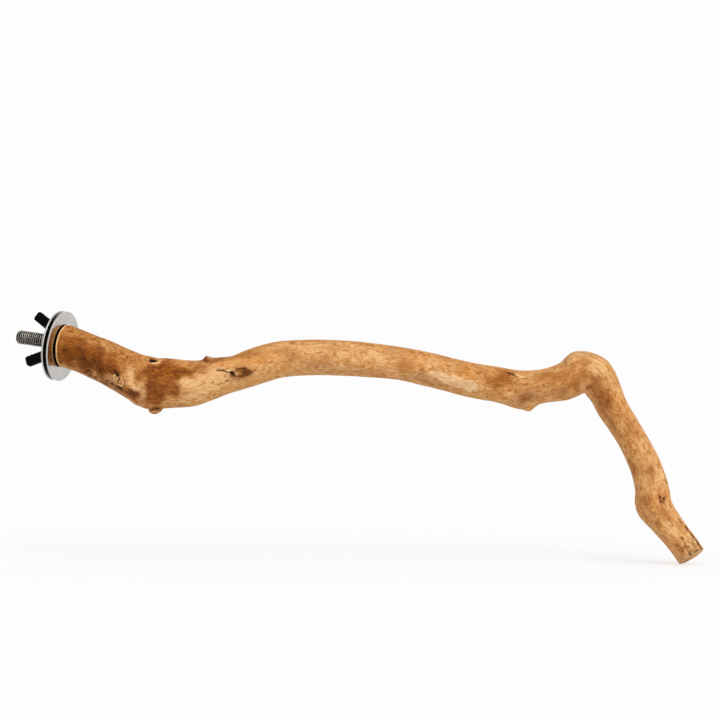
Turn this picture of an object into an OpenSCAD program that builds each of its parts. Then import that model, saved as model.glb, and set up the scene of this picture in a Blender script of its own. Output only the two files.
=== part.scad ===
// Bird perch: a peeled, crooked branch that clamps to a cage wall between two wide washers,
// on a stud screwed into the branch's squared end, with a wing nut outside.
// The origin is where the stud's axis crosses the inner washer's cage face. +X runs along the
// stud into the branch, -X points out through the cage wall, and +Z is up. The washers and the
// branch's squared end sit a little below the stud's axis. Millimetres and degrees.

/* [Branch] */
// Length that the branch is drawn to, about its reach from the cage face to its cut tip
branch_reach = 355; // [315:10:415]
// Grown diameter of the branch along its slim middle stretch
branch_girth = 20; // [17:0.5:21]
// Diameter of the squared end that seats on the inner washer
seat_d = 24.2; // [21:0.2:27]
// Rounding of the squared end's edge
seat_edge = 2.6; // [0.6:0.2:4]
// How far the squared end's middle lies below the stud's axis
seat_drop = 1.3; // [0:0.1:2]
// Sideways turn of the branch's run away from the stud's axis
run_turn = 17; // [12:1:22]
// Upward turn of the branch's run away from the stud's axis
run_rise = 8; // [4:0.5:14]
// Lean of the tip's saw cut towards the viewer, from square to the branch
cut_lean = 15; // [0:1:25]

/* [Washers] */
// Outer diameter of both washers
washer_d = 40; // [32:1:50]
// Thickness of both washers
washer_t = 1; // [0.8:0.1:2]
// Edge break of both washers
washer_edge = 0.15; // [0.05:0.05:0.3]
// Open gap between the washers, where the cage wires go
clamp_gap = 2.1; // [1:0.1:5]
// How far the washers hang below the stud's axis, in their wide holes
washer_drop = 1.7; // [0:0.1:2]

/* [Stud] */
// Thread diameter of the stud outside the branch
stud_d = 8; // [6:1:10]
// Length of stud that stands out from the cage face
stud_out = 28; // [24:1:40]
// Chamfer at the stud's free end
stud_chamfer = 1; // [0.5:0.1:1.5]
// Diameter of the coarse screw end inside the branch
screw_d = 7; // [5:0.5:8]
// Length of the coarse screw end, tip included
screw_length = 24; // [20:1:32]
// Length of the screw end's pointed tip
screw_point = 6; // [4:1:9]

/* [Wing nut] */
// Diameter of the hub's foot, on the outer washer
hub_foot_d = 16; // [14:0.5:20]
// Diameter of the hub's outer end
hub_top_d = 14; // [12.6:0.2:16]
// Height of the hub
hub_h = 6.5; // [5:0.5:9]
// Rounding of the hub's outer rim
hub_round = 0.8; // [0.4:0.2:1]
// Span of the wings, from tip to tip across the stud
wing_span = 33; // [30:1:40]
// Height of the wing tips above the nut's foot
wing_rise = 18; // [17:1:24]
// Width of each wing's flat side
wing_w = 5.8; // [4.5:0.1:7]
// Thickness of each wing
wing_t = 3.2; // [2.4:0.2:4.4]
// Angle between each wing and the stud's axis
wing_splay = 28; // [24:1:34]
// Turn of the wings about the stud, from upright
wing_turn = 10; // [-90:1:90]
// Rounding of each wing's corners
wing_round = 1.1; // [0.6:0.1:1.6]

/* [Fits] */
// Radial clearance between the stud's thread and the nut
nut_clearance = 0.05; // [0.02:0.01:0.1]
// Clearance between the stud and the washers' holes, at the top where they hang
washer_clearance = 0.2; // [0.1:0.05:0.3]
// Clearance around the screw end in its pilot hole
pilot_clearance = 0.02; // [0.01:0.01:0.05]

/* [Twig stub] */
// Diameter of the sawn-off twig under the thick end, at its root
twig_d = 6; // [3:0.2:7]
// Length of the twig that stands out of the bark
twig_out = 2.8; // [1.5:0.1:5]

/* [Hidden] */
$fn = 64;

// How far cutting shapes run past what they cut
overrun = 1;
// Sides of the branch's rings, and the widest gap between two rings, as a share of the girth
ring_sides = 36;
ring_gap_share = 0.24;

// Where each piece lies along the stud
branch_x = washer_t;
clamp_x = -clamp_gap;
foot_x = clamp_x - washer_t;

// The branch's stations. Each row has, as shares of the reach, the centre's run, its height and
// its depth towards the viewer; the lean of the ring's tall axis in degrees; and, as shares of
// the girth, half the ring's height and half its depth.
station_shares = [
    [0.047, -0.020, 0.016,  17, 0.585, 0.59],
    [0.073, -0.030, 0.024,  18, 0.600, 0.60],
    [0.097, -0.042, 0.031,  20, 0.620, 0.61],
    [0.126, -0.056, 0.038,  15, 0.675, 0.62],
    [0.155, -0.063, 0.043,   9, 0.720, 0.63],
    [0.185, -0.064, 0.047,   4, 0.690, 0.62],
    [0.214, -0.064, 0.050,  -2, 0.645, 0.60],
    [0.240, -0.059, 0.053,  -7, 0.580, 0.57],
    [0.268, -0.051, 0.055, -13, 0.525, 0.53],
    [0.298, -0.042, 0.057, -16, 0.515, 0.52],
    [0.326, -0.033, 0.058, -16, 0.520, 0.52],
    [0.354, -0.026, 0.058, -12, 0.510, 0.51],
    [0.393, -0.023, 0.057,  -3, 0.495, 0.50],
    [0.440, -0.024, 0.054,   3, 0.505, 0.50],
    [0.489, -0.027, 0.050,   7, 0.490, 0.49],
    [0.539, -0.032, 0.047,  10, 0.470, 0.48],
    [0.588, -0.042, 0.045,  12, 0.475, 0.48],
    [0.639, -0.055, 0.044,  12, 0.485, 0.48],
    [0.690, -0.065, 0.045,  10, 0.495, 0.49],
    [0.733, -0.072, 0.048,   6, 0.510, 0.50],
    [0.772, -0.068, 0.052,   1, 0.490, 0.50],
    [0.800, -0.062, 0.055,  -9, 0.535, 0.52],
    [0.813, -0.054, 0.056, -13, 0.580, 0.53],
    [0.825, -0.047, 0.058, -10, 0.600, 0.54],
    [0.839, -0.047, 0.059,   8, 0.585, 0.54],
    [0.852, -0.053, 0.060,  30, 0.560, 0.52],
    [0.860, -0.064, 0.060,  47, 0.525, 0.50],
    [0.869, -0.081, 0.060,  57, 0.465, 0.47],
    [0.879, -0.103, 0.061,  60, 0.435, 0.44],
    [0.896, -0.130, 0.063,  60, 0.415, 0.42],
    [0.913, -0.159, 0.066,  60, 0.410, 0.41],
    [0.928, -0.191, 0.069,  60, 0.435, 0.41],
    [0.936, -0.219, 0.072,  62, 0.475, 0.43],
    [0.939, -0.242, 0.075,  67, 0.520, 0.45],
    [0.945, -0.263, 0.078,  69, 0.495, 0.45],
    [0.964, -0.288, 0.082,  71, 0.445, 0.43],
    [0.984, -0.313, 0.085,  67, 0.410, 0.41],
    [0.999, -0.335, 0.088,  60, 0.395, 0.39]
];

// Knots, knuckles and hollows on the bark. Each row has the station, the angle round the ring
// from its top towards the viewer, the height as a share of the girth, the half length in
// stations and the half width in degrees.
knot_shares = [
    [1.2,  150,  0.015, 1.20, 16],
    [3.35, 150,  0.030, 0.40, 20],
    [3.9,    6, -0.040, 0.25, 16],
    [3.7,  166,  0.065, 0.35, 17],
    [5.4,  250,  0.045, 0.80, 34],
    [7.02,   2,  0.085, 0.20, 18],
    [7.3,    2,  0.035, 0.25, 20],
    [7.5,  102, -0.035, 0.60, 26],
    [8.5,    0, -0.050, 0.45, 40],
    [9.0,   96,  0.030, 0.40, 18],
    [10.4, 236,  0.050, 0.70, 30],
    [14.2, 215, -0.040, 0.90, 34],
    [17.6,  60,  0.030, 0.60, 24],
    [19.1, 160,  0.080, 0.45, 28],
    [19.45, 170, 0.120, 0.22, 26],
    [21.0, 255,  0.050, 0.70, 30],
    [24.6,  60,  0.045, 1.20, 34],
    [25.2, 142, -0.080, 1.10, 20],
    [27.6, 296,  0.060, 0.90, 28],
    [33.4,  70, -0.030, 0.35, 16],
    [35.2, 120,  0.035, 0.70, 22]
];

// Slow fluting of the bark: [waves round the ring, turns along the whole branch, start angle,
// depth as a share of the radius]
flute_shares = [
    [2, 1.4,  40, 0.030],
    [3, -2.2, 150, 0.022],
    [5, 3.1,  20, 0.010]
];

// The seat's rings stand square to the stud: [distance from the branch's end, radius, drop of
// the middle below the stud's axis]. The second one lies halfway round the edge's rounding, by
// this share of it from both sides. The last one already drops with the branch, by this ratio.
seat_slant = 1 - sqrt(1 / 2);
seat_fall = 1.6;
seat_rings = [
    [0, seat_d / 2 - seat_edge, seat_drop],
    [seat_edge * seat_slant, seat_d / 2 - seat_edge * seat_slant, seat_drop],
    [seat_edge, seat_d / 2, seat_drop],
    [seat_d / 4, seat_d / 2, seat_drop * seat_fall]
];

// Turns a point of the branch's upright sheet (run, height, depth) into the perch's own frame
function from_sheet(p) = [
    (p[0] * cos(run_rise) - p[1] * sin(run_rise)) * cos(run_turn) + p[2] * sin(run_turn),
    (p[0] * cos(run_rise) - p[1] * sin(run_rise)) * sin(run_turn) - p[2] * cos(run_turn),
    p[0] * sin(run_rise) + p[1] * cos(run_rise)
];

// A ring's control values: centre, tall half axis and half depth
seat_controls = [for (s = seat_rings) [[branch_x + s[0], 0, -s[2]], [0, 0, s[1]], s[1]]];
run_controls = [for (s = station_shares) [
    branch_reach * from_sheet([s[0], s[1], s[2]]),
    branch_girth * s[4] * from_sheet([sin(s[3]), cos(s[3]), 0]),
    branch_girth * s[5]
]];
controls = concat(seat_controls, run_controls);
last_control = len(controls) - 1;
first_station = len(seat_controls);

// Catmull-Rom curve through the controls' column k, with straight ends
function control(i, k) =
    i < 0 ? 2 * controls[0][k] - controls[1][k] :
    i > last_control ? 2 * controls[last_control][k] - controls[last_control - 1][k] :
    controls[i][k];
function smooth(t, k) =
    let (
        i = min(floor(t), last_control - 1),
        f = t - i,
        a = control(i - 1, k),
        b = control(i, k),
        c = control(i + 1, k),
        d = control(i + 2, k)
    )
    (2 * b + (c - a) * f + (2 * a - 5 * b + 4 * c - d) * f ^ 2
        + (3 * b - a - 3 * c + d) * f ^ 3) / 2;
function unit(v) = v / norm(v);
function turned(angle) = angle - 360 * round(angle / 360);

// Direction of the branch at t, from a short chord of its centre line
chord = 0.02;
function direction(t) =
    unit(smooth(min(t + chord, last_control), 0) - smooth(max(t - chord, 0), 0));

// Share by which the ring's radius grows at an angle, with none at its top and bottom, so the
// fluting leaves the outline that the stations give, and fades out at the seat and the tip
function flute(t, angle) =
    sin(angle) ^ 2 * min(1, t / first_station, last_control - t)
    * [for (s = flute_shares) s[3] * sin(s[0] * angle + s[2] + 360 * s[1] * t / last_control)]
    * [for (s = flute_shares) 1];
function knots(t, angle) =
    [for (s = knot_shares)
        s[2] * exp(-((t - first_station - s[0]) / s[3]) ^ 2 - (turned(angle - s[1]) / s[4]) ^ 2)]
    * [for (s = knot_shares) 1];

// Share of the saw cut's lean that a ring takes: the last span turns into the cut
function cut_share(t) = max(0, t - last_control + 1);

// A point of the skin. The cut's lean draws the viewer's side back and the far side out.
function ring_point(t, angle) =
    let (
        tall = smooth(t, 1),
        way = direction(t),
        deep = unit(cross(way, tall)),
        out = tall * cos(angle) + smooth(t, 2) * deep * sin(angle),
        spoke = out * (1 + flute(t, angle)) + unit(out) * branch_girth * knots(t, angle)
    )
    smooth(t, 0) + spoke - way * (spoke * deep) * tan(cut_lean) * cut_share(t);

// Where the rings lie: each span between two controls is cut by its longer side
function span(i) = max([for (side = [-1, 1])
    norm(controls[i + 1][0] + side * controls[i + 1][1] - controls[i][0] - side * controls[i][1])]);
span_steps = [for (i = [0 : last_control - 1])
    max(1, round(span(i) / (branch_girth * ring_gap_share)))];
ring_places = concat(
    [for (i = [0 : last_control - 1], s = [0 : span_steps[i] - 1]) i + s / span_steps[i]],
    [last_control]);
ring_count = len(ring_places);

// The branch's skin: rings joined by triangles, closed by a flat face at each end
module branch_skin() {
    points = [for (t = ring_places, j = [0 : ring_sides - 1])
        ring_point(t, 360 * j / ring_sides)];
    walls = [for (i = [0 : ring_count - 2], j = [0 : ring_sides - 1])
        let (
            next = (j + 1) % ring_sides,
            a = i * ring_sides + j,
            b = i * ring_sides + next,
            c = a + ring_sides,
            d = b + ring_sides
        )
        each [[a, c, b], [b, c, d]]];
    seat = [for (j = [0 : ring_sides - 1]) j];
    tip = [for (j = [ring_sides - 1 : -1 : 0]) (ring_count - 1) * ring_sides + j];
    polyhedron(points, concat(walls, [seat, tip]), convexity = 6);
}

// A cylinder along +X from x, of length h
module along_x(x, h, r1, r2) {
    translate([x, 0, 0])
        rotate([0, 90, 0])
            cylinder(h = h, r1 = r1, r2 = r2);
}

// Where the sawn-off twig leaves the bark: its station and its angle round the ring
twig_station = 4.15;
twig_angle = 172;
twig_sunk = twig_d;
twig_taper_share = 0.82;

module twig() {
    place = first_station + twig_station;
    root = ring_point(place, twig_angle);
    way = unit(root - smooth(place, 0));
    translate(root - way * twig_sunk)
        rotate([0, acos(way[2]), atan2(way[1], way[0])])
            cylinder(h = twig_sunk + twig_out, d1 = twig_d, d2 = twig_d * twig_taper_share);
}

module branch() {
    pilot_r = screw_d / 2 + pilot_clearance;
    straight = screw_length - screw_point;
    color("peru")
        difference() {
            union() {
                branch_skin();
                twig();
            }
            along_x(branch_x - overrun, overrun + straight, pilot_r, pilot_r);
            along_x(branch_x + straight, screw_point + pilot_clearance, pilot_r, 0);
        }
}

module hanger_bolt() {
    straight = screw_length - screw_point;
    color("silver") {
        along_x(-stud_out, stud_chamfer, stud_d / 2 - stud_chamfer, stud_d / 2);
        along_x(stud_chamfer - stud_out, stud_out - stud_chamfer + branch_x, stud_d / 2, stud_d / 2);
        along_x(branch_x, straight, screw_d / 2, screw_d / 2);
        along_x(branch_x + straight, screw_point, screw_d / 2, 0);
    }
}

// A flat ring with broken edges, from x towards +X. It hangs on the stud by its hole's top.
module washer(x) {
    hole_r = stud_d / 2 + washer_drop + washer_clearance;
    rim_r = washer_d / 2;
    translate([x, 0, -washer_drop])
        rotate([0, 90, 0])
            rotate_extrude()
                polygon([
                    [hole_r, 0],
                    [rim_r - washer_edge, 0],
                    [rim_r, washer_edge],
                    [rim_r, washer_t - washer_edge],
                    [rim_r - washer_edge, washer_t],
                    [hole_r, washer_t]
                ]);
}

module inner_washer() {
    color("gainsboro")
        washer(0);
}

module outer_washer() {
    color("gainsboro")
        washer(foot_x);
}

// One wing's flat outline, from its root to its tip along +Y
module wing_outline(length) {
    half = wing_w / 2 - wing_round;
    translate([-wing_w / 2, 0])
        square([wing_w, length - wing_round]);
    translate([-half, 0])
        square([2 * half, length]);
    for (side = [-1, 1])
        translate([side * half, length - wing_round])
            circle(r = wing_round);
}

// The hub's outline, turned about the stud's axis
module hub_outline() {
    foot_r = hub_foot_d / 2;
    top_r = hub_top_d / 2;
    polygon([
        [0, 0],
        [foot_r, 0],
        [top_r, hub_h - hub_round],
        [top_r, hub_h - hub_round / 2],
        [top_r - hub_round / 2, hub_h],
        [0, hub_h]
    ]);
}

module wing_nut() {
    bore_r = stud_d / 2 + nut_clearance;
    tip_r = wing_span / 2 - wing_w / 2 * cos(wing_splay);
    tip_h = wing_rise - wing_w / 2 * sin(wing_splay);
    root_r = (bore_r + hub_foot_d / 2) / 2;
    wing_length = (tip_r - root_r) / sin(wing_splay);
    color("dimgray")
        difference() {
            translate([foot_x, 0, 0])
                rotate([0, -90, 0])
                    rotate([0, 0, wing_turn]) {
                        rotate_extrude()
                            hub_outline();
                        for (side = [-1, 1])
                            translate([side * tip_r, 0, tip_h])
                                rotate([0, side * wing_splay, 0])
                                    translate([0, wing_t / 2, -wing_length])
                                        rotate([90, 0, 0])
                                            linear_extrude(wing_t)
                                                wing_outline(wing_length);
                    }
            along_x(foot_x - hub_h - overrun, hub_h + 2 * overrun, bore_r, bore_r);
        }
}

branch();
hanger_bolt();
inner_washer();
outer_washer();
wing_nut();
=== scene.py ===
"""Looks of the bird perch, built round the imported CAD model, in metres."""

import math

import bpy
import numpy as np
from mathutils import Matrix, Vector


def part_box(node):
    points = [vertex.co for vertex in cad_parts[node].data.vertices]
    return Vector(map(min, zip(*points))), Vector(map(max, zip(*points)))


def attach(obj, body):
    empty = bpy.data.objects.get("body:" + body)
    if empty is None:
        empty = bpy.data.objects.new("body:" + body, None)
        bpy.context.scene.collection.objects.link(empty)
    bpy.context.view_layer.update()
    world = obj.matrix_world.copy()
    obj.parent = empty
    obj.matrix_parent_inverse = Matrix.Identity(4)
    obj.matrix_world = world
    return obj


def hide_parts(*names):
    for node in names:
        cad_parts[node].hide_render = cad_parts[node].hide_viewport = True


MM = 0.001

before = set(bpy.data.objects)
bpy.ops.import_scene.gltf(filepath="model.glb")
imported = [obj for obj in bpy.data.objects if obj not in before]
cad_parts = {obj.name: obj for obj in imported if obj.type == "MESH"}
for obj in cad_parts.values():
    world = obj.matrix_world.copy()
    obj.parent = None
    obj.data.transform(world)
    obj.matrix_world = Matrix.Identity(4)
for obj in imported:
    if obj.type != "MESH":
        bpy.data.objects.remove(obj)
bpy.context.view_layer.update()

# Sizes read from the CAD nodes, in millimetres
washer_low, washer_high = (np.array(corner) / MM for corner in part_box("inner_washer"))
WASHER_T = washer_high[0] - washer_low[0]
WASHER_R = (washer_high[2] - washer_low[2]) / 2
WASHER_Z = (washer_high[2] + washer_low[2]) / 2
FOOT_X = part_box("outer_washer")[0][0] / MM
bolt_low, bolt_high = (np.array(corner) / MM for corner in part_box("hanger_bolt"))
STUD_R = bolt_high[2]
STUD_END = bolt_low[0]
SCREW_END = bolt_high[0]
WING_RISE = FOOT_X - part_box("wing_nut")[0][0] / MM


def linear(red, green, blue):
    """A colour given as 0 to 255 values on a screen, as the shader's linear values."""
    shares = [c / 255 for c in (red, green, blue)]
    return tuple(s / 12.92 if s <= 0.04045 else ((s + 0.055) / 1.055) ** 2.4 for s in shares) + (1,)


# The branch's form: the same stations and rings as the part's source, in millimetres

REACH = 355.0
GIRTH = 20.0
SEAT_R = 12.1
SEAT_EDGE = 2.6
SEAT_DROP = 1.3
SEAT_FALL = 1.6
RUN_TURN = math.radians(17)
RUN_RISE = math.radians(8)
CUT_LEAN = math.radians(15)

# Run, height and depth as shares of the reach; lean in degrees; half height and half depth as
# shares of the girth
STATIONS = np.array([
    [0.047, -0.02, 0.016, 17, 0.585, 0.59], [0.073, -0.03, 0.024, 18, 0.6, 0.6],
    [0.097, -0.042, 0.031, 20, 0.62, 0.61], [0.126, -0.056, 0.038, 15, 0.675, 0.62],
    [0.155, -0.063, 0.043, 9, 0.72, 0.63], [0.185, -0.064, 0.047, 4, 0.69, 0.62],
    [0.214, -0.064, 0.05, -2, 0.645, 0.6], [0.24, -0.059, 0.053, -7, 0.58, 0.57],
    [0.268, -0.051, 0.055, -13, 0.525, 0.53], [0.298, -0.042, 0.057, -16, 0.515, 0.52],
    [0.326, -0.033, 0.058, -16, 0.52, 0.52], [0.354, -0.026, 0.058, -12, 0.51, 0.51],
    [0.393, -0.023, 0.057, -3, 0.495, 0.5], [0.44, -0.024, 0.054, 3, 0.505, 0.5],
    [0.489, -0.027, 0.05, 7, 0.49, 0.49], [0.539, -0.032, 0.047, 10, 0.47, 0.48],
    [0.588, -0.042, 0.045, 12, 0.475, 0.48], [0.639, -0.055, 0.044, 12, 0.485, 0.48],
    [0.69, -0.065, 0.045, 10, 0.495, 0.49], [0.733, -0.072, 0.048, 6, 0.51, 0.5],
    [0.772, -0.068, 0.052, 1, 0.49, 0.5], [0.8, -0.062, 0.055, -9, 0.535, 0.52],
    [0.813, -0.054, 0.056, -13, 0.58, 0.53], [0.825, -0.047, 0.058, -10, 0.6, 0.54],
    [0.839, -0.047, 0.059, 8, 0.585, 0.54], [0.852, -0.053, 0.06, 30, 0.56, 0.52],
    [0.86, -0.064, 0.06, 47, 0.525, 0.5], [0.869, -0.081, 0.06, 57, 0.465, 0.47],
    [0.879, -0.103, 0.061, 60, 0.435, 0.44], [0.896, -0.13, 0.063, 60, 0.415, 0.42],
    [0.913, -0.159, 0.066, 60, 0.41, 0.41], [0.928, -0.191, 0.069, 60, 0.435, 0.41],
    [0.936, -0.219, 0.072, 62, 0.475, 0.43], [0.939, -0.242, 0.075, 67, 0.52, 0.45],
    [0.945, -0.263, 0.078, 69, 0.495, 0.45], [0.964, -0.288, 0.082, 71, 0.445, 0.43],
    [0.984, -0.313, 0.085, 67, 0.41, 0.41], [0.999, -0.335, 0.088, 60, 0.395, 0.39],
])

# Bumps: station, angle, height as a share of the girth, half length in stations, half width in degrees
KNUCKLES = [
    (1.2, 150, 0.015, 1.2, 16), (3.35, 150, 0.03, 0.4, 20), (3.9, 6, -0.04, 0.25, 16),
    (3.7, 166, 0.065, 0.35, 17), (5.4, 250, 0.045, 0.8, 34), (7.02, 2, 0.085, 0.2, 18),
    (7.3, 2, 0.035, 0.25, 20), (7.5, 102, -0.035, 0.6, 26), (8.5, 0, -0.05, 0.45, 40),
    (9, 96, 0.03, 0.4, 18), (10.4, 236, 0.05, 0.7, 30), (14.2, 215, -0.04, 0.9, 34),
    (17.6, 60, 0.03, 0.6, 24), (19.1, 160, 0.08, 0.45, 28), (19.45, 170, 0.12, 0.22, 26),
    (21, 255, 0.05, 0.7, 30), (24.6, 60, 0.045, 1.2, 34), (25.2, 142, -0.08, 1.1, 20),
    (27.6, 296, 0.06, 0.9, 28), (33.4, 70, -0.03, 0.35, 16), (35.2, 120, 0.035, 0.7, 22),
]

# Waves round the ring, turns along the branch, start angle, depth as a share of the radius
FLUTES = [(2, 1.4, 40, 0.030), (3, -2.2, 150, 0.022), (5, 3.1, 20, 0.010)]

# The sheet's axes: the run, its height and the way to the viewer
RUN = np.array([
    math.cos(RUN_RISE) * math.cos(RUN_TURN),
    math.cos(RUN_RISE) * math.sin(RUN_TURN),
    math.sin(RUN_RISE),
])
VIEWER = np.array([math.sin(RUN_TURN), -math.cos(RUN_TURN), 0.0])
HEIGHT = np.cross(VIEWER, RUN)
SHEET = np.array([RUN, HEIGHT, VIEWER])


def branch_controls():
    """Rows of centre, tall half axis and half depth, with one straight row added at each end."""
    slanted = SEAT_EDGE * (1 - math.sqrt(0.5))
    seat = [
        (0, SEAT_R - SEAT_EDGE, SEAT_DROP),
        (slanted, SEAT_R - slanted, SEAT_DROP),
        (SEAT_EDGE, SEAT_R, SEAT_DROP),
        (SEAT_R / 2, SEAT_R, SEAT_DROP * SEAT_FALL),
    ]
    lean = np.radians(STATIONS[:, 3])
    centres = [[WASHER_T + x, 0, -drop] for x, _, drop in seat]
    centres.extend(REACH * STATIONS[:, :3] @ SHEET)
    talls = [[0, 0, r] for _, r, _ in seat]
    leaning = np.stack([np.sin(lean), np.cos(lean), 0 * lean], axis=1) @ SHEET
    talls.extend(GIRTH * STATIONS[:, 4:5] * leaning)
    depths = [[r] for _, r, _ in seat]
    depths.extend(GIRTH * STATIONS[:, 5:6])
    rows = np.hstack([np.array(centres), np.array(talls), np.array(depths)])
    return np.vstack([2 * rows[0] - rows[1], rows, 2 * rows[-1] - rows[-2]])


# Place t along the branch counts every ring, and a station counts only those past the seat
CONTROLS = branch_controls()
LAST = len(CONTROLS) - 3
FIRST = 4


def smooth(t):
    """Catmull-Rom curve through the controls, one row for each t."""
    i = np.minimum(np.floor(t).astype(int), LAST - 1)
    f = (t - i)[:, None]
    a, b, c, d = (CONTROLS[i + k] for k in range(4))
    cubic = 3 * b - a - 3 * c + d
    return (2 * b + (c - a) * f + (2 * a - 5 * b + 4 * c - d) * f**2 + cubic * f**3) / 2


def turned(degrees):
    """The same turn, from -180 to 180 degrees."""
    return degrees - 360 * np.round(degrees / 360)


def unit(v):
    """The same ways, each 1 long."""
    return v / np.linalg.norm(v, axis=-1, keepdims=True)


def rings(t, angles):
    """Points of the branch's skin and the outward way at each, as arrays of rings by sides."""
    chord = 0.02
    here = smooth(t)
    ahead = smooth(np.minimum(t + chord, LAST))[:, :3]
    behind = smooth(np.maximum(t - chord, 0))[:, :3]
    way = unit(ahead - behind)
    tall = here[:, 3:6]
    deep = unit(np.cross(way, tall))
    turn = np.radians(angles)[None, :, None]
    out = tall[:, None] * np.cos(turn) + (here[:, 6:7] * deep)[:, None] * np.sin(turn)
    around = angles[None, :]
    along = t[:, None]
    flute = sum(
        depth * np.sin(np.radians(waves * around + start + 360 * turns * along / LAST))
        for waves, turns, start, depth in FLUTES
    )
    fade = np.minimum(1, np.minimum(along / FIRST, LAST - along))
    flute = flute * fade * np.sin(np.radians(around)) ** 2
    bump = sum(
        height
        * np.exp(-(((along - FIRST - station) / length) ** 2) - (turned(around - angle) / width) ** 2)
        for station, angle, height, length, width in KNUCKLES
    )
    spoke = out * (1 + flute)[..., None] + unit(out) * GIRTH * bump[..., None]
    depth = np.einsum("ijk,ik->ij", spoke, deep)
    lean = depth * math.tan(CUT_LEAN) * np.maximum(0, t - LAST + 1)[:, None]
    return here[:, None, :3] + spoke - way[:, None] * lean[..., None], unit(out)


# Colours drawn on the bark, each as a mask
# The mask for dark lines also holds painted shade, and the mask for wear a painted highlight.
MASKS = ("tan", "brown", "umber", "pale", "honey", "grey", "dark_marks_and_shade", "knot", "cream", "wear_and_highlight")

# How far small ripples shift the outline of what is drawn on the bark, in millimetres
RIPPLE = 0.16
RIPPLE_LENGTHS = (1.4, 6)
SWELL_LENGTHS = (6, 24)


class Bark:
    """The branch's skin as a fine grid, with masks and heights drawn on it.

    Places are a station and an angle round the ring, from its top towards the viewer."""

    RING_GAP = 0.42
    LIP_RINGS = 28
    SIDES = 200
    SAMPLES = 6000

    def __init__(self):
        self.fine = np.linspace(0, LAST, self.SAMPLES)
        steps = np.linalg.norm(np.diff(smooth(self.fine)[:, :3], axis=0), axis=1)
        self.travel = np.concatenate([[0], np.cumsum(steps)])
        length = self.travel[-1]
        lip = np.linspace(0, 2 * SEAT_EDGE, self.LIP_RINGS)[:-1]
        rest = np.linspace(2 * SEAT_EDGE, length, int(length / self.RING_GAP))
        self.along = np.concatenate([lip, rest])
        self.t = np.interp(self.along, self.travel, self.fine)
        self.angles = np.arange(self.SIDES) * 360 / self.SIDES
        self.points, self.out = rings(self.t, self.angles)
        middle = smooth(self.t)[:, :3]
        self.radius = np.linalg.norm(self.points - middle[:, None], axis=2).mean(axis=1)
        self.height = np.zeros(self.points.shape[:2])
        self.masks = {name: np.zeros(self.height.shape) for name in MASKS}
        self.ripple = [self.ripples(seed, RIPPLE_LENGTHS) for seed in (21, 22)]
        self.swell = [self.ripples(seed, SWELL_LENGTHS) for seed in (23, 24)]

    def ripples(self, seed, wavelength, count=28):
        """A smooth random field over the skin, about 1 in size."""
        random = np.random.default_rng(seed)
        around = np.radians(self.angles)[None]
        total = np.zeros(self.height.shape)
        for _ in range(count):
            length = random.uniform(*wavelength)
            way = random.uniform(0, 2 * math.pi)
            turns = round(math.pi * GIRTH * math.cos(way) / length)
            phase = 2 * math.pi * (math.sin(way) * self.along / length + random.random())
            total += np.sin(turns * around + phase[:, None])
        return total * math.sqrt(2 / count)

    def travel_at(self, station):
        """Millimetres along the branch at a station."""
        return np.interp(station + FIRST, self.fine, self.travel)

    def local(self, station, angle, turn=0, ragged=0.0):
        """Millimetres along and round the branch from a place, turned by some degrees.

        Small ripples, and swells as large as the ragged value, keep every outline uneven."""
        along = (self.along - self.travel_at(station))[:, None]
        around = np.radians(turned(self.angles - angle))[None] * self.radius[:, None]
        along = along + RIPPLE * self.ripple[0] + ragged * self.swell[0]
        around = around + RIPPLE * self.ripple[1] + ragged * self.swell[1]
        c, s = math.cos(math.radians(turn)), math.sin(math.radians(turn))
        return along * c + around * s, around * c - along * s

    def oval(self, station, angle, length, width, turn=0, ragged=0.0):
        """Distance from a place, as 1 on an oval with these half sizes in millimetres."""
        x, y = self.local(station, angle, turn, ragged)
        return np.sqrt((x / length) ** 2 + (y / width) ** 2)

    def crack(self, places):
        """Distance in millimetres from a line through these places."""
        station, angle = places[0]
        x, y = self.local(station, angle)
        corners = []
        for s, a in places:
            mean_r = np.interp(s + FIRST, self.t, self.radius)
            ahead = self.travel_at(s) - self.travel_at(station)
            corners.append((ahead, math.radians(a - angle) * mean_r))
        nearest = np.full(x.shape, np.inf)
        for (x0, y0), (x1, y1) in zip(corners, corners[1:]):
            dx, dy = x1 - x0, y1 - y0
            share = ((x - x0) * dx + (y - y0) * dy) / (dx * dx + dy * dy)
            share = np.clip(share, 0, 1)
            nearest = np.minimum(nearest, np.hypot(x - x0 - share * dx, y - y0 - share * dy))
        return nearest

    def paint(self, name, amount):
        """Lays an amount from 0 to 1 over a mask."""
        self.masks[name] = 1 - (1 - self.masks[name]) * (1 - np.clip(amount, 0, 1))

    def clear(self, amount):
        """Takes the dark zones off where something paler is drawn."""
        for name in ("brown", "umber", "tan", "grey"):
            self.masks[name] *= 1 - np.clip(amount, 0, 1)


def soft(distance, inner=0.0, outer=1.0):
    """1 inside, 0 outside, and smooth between the two distances."""
    share = np.clip((outer - distance) / (outer - inner), 0, 1)
    return share * share * (3 - 2 * share)


def bell(distance):
    """A smooth hump: 1 at no distance, and nearly 0 from 2 on."""
    return np.exp(-(distance**2))


def band(distance, at, width):
    """A smooth hump at a distance, where it is 1, and this wide to each side."""
    return bell((distance - at) / width)


def wave(phase):
    """Rings or lines, as values from 0 to 1."""
    return 0.5 + 0.5 * np.cos(phase)


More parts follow.
